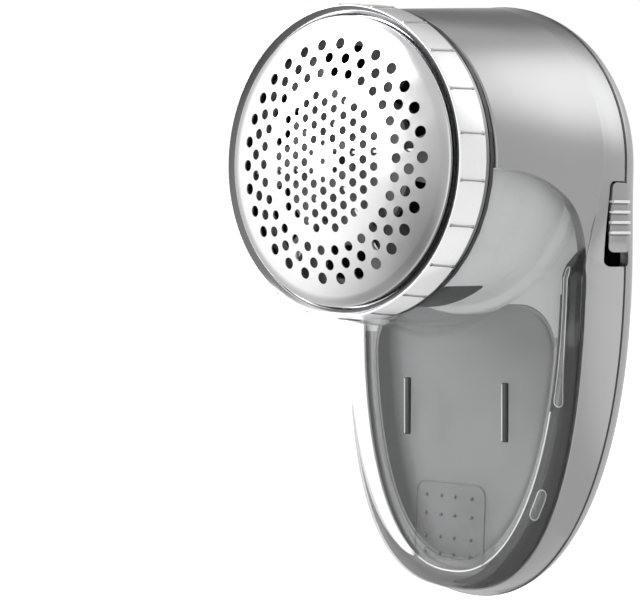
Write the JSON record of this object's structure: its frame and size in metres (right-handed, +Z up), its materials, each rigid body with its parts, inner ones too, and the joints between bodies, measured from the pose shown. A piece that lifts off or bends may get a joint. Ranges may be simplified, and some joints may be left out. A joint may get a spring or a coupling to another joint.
{
  "type": "fabric shaver",
  "caption": "Hand-held fabric shaver: round perforated cutting head with a guard ring, spinning blades, clear lint box below it and a side slide switch.",
  "frame": {"origin": "bottom centre of the bounding box, at the toe of the handle", "axes": "+Z up the handle to the cutting head, -Y out of the foil, +X towards the slide switch"},
  "size_m": [0.0788, 0.0718, 0.1361],
  "materials": {
    "silver_paint": "satin silver paint over plastic",
    "smoky_clear": "clear smoky plastic",
    "polished_steel": "polished",
    "bright_plate": "bright plating over plastic",
    "dark_plastic": "dark grey",
    "pale_plastic": "grey",
    "white_plastic": "white",
    "brass": "tinned",
    "board": "green laminate",
    "cell_wrap": "green shrink film",
    "lens": "clear",
    "red_wire": "red insulation",
    "black_plastic": "black"
  },
  "bodies": {
    "casing": {"main_housing": "silver_paint", "rear_cover": "silver_paint", "head_seal": "dark_plastic", "cutter_chamber": "pale_plastic", "motor_can": "polished_steel", "motor_end_bell": "white_plastic", "motor_terminal_1": "brass", "motor_terminal_2": "brass", "motor_screw_1": "polished_steel", "motor_screw_2": "polished_steel", "slide_switch_body": "dark_plastic", "circuit_board": "board", "battery_cell_1": "cell_wrap", "battery_cell_2": "cell_wrap", "battery_holder": "black_plastic", "charge_socket": "polished_steel", "charge_led": "lens", "motor_wire_1": "red_wire", "motor_wire_2": "black_plastic", "battery_wire_1": "red_wire", "battery_wire_2": "black_plastic", "rear_screw_1": "polished_steel", "rear_screw_2": "polished_steel", "rear_screw_3": "polished_steel", "rear_screw_4": "polished_steel"},
    "rotor": {"motor_shaft": "polished_steel", "rotor_disc": "white_plastic", "blade_1": "polished_steel", "blade_2": "polished_steel", "blade_3": "polished_steel", "blade_4": "polished_steel", "blade_5": "polished_steel", "blade_6": "polished_steel", "drive_hub": "dark_plastic", "rotor_spring": "polished_steel"},
    "foil_set": {"foil": "polished_steel", "foil_carrier": "dark_plastic"},
    "guard": {"guard_ring": "bright_plate"},
    "lint_drawer": {"lint_box": "smoky_clear"},
    "switch": {"switch_knob": "silver_paint", "slide_switch_lever": "black_plastic"}
  },
  "joints": [
    {"name": "rotor_spin", "type": "hinge", "parent": "casing", "child": "rotor", "pos_m": [-0.00042, -0.02687, 0.0985], "axis": [0, -1, 0], "continuous": true},
    {"name": "foil_height", "type": "slide", "parent": "casing", "child": "foil_set", "axis": [0, -1, 0], "range_m": [0, 0.003]},
    {"name": "guard_turn", "type": "hinge", "parent": "foil_set", "child": "guard", "pos_m": [-0.00042, -0.02687, 0.0985], "axis": [0, -1, 0], "range_deg": [0, 60]},
    {"name": "lint_box_slide", "type": "slide", "parent": "casing", "child": "lint_drawer", "axis": [0, -0.0523, -0.9986], "range_m": [0, 0.04]},
    {"name": "switch_slide", "type": "slide", "parent": "casing", "child": "switch", "axis": [0, 0, -1], "range_m": [0, 0.003]}
  ],
  "couplings": [
    {"joint": "foil_height", "follows": "guard_turn", "m_per_rad": 0.00286}
  ]
}
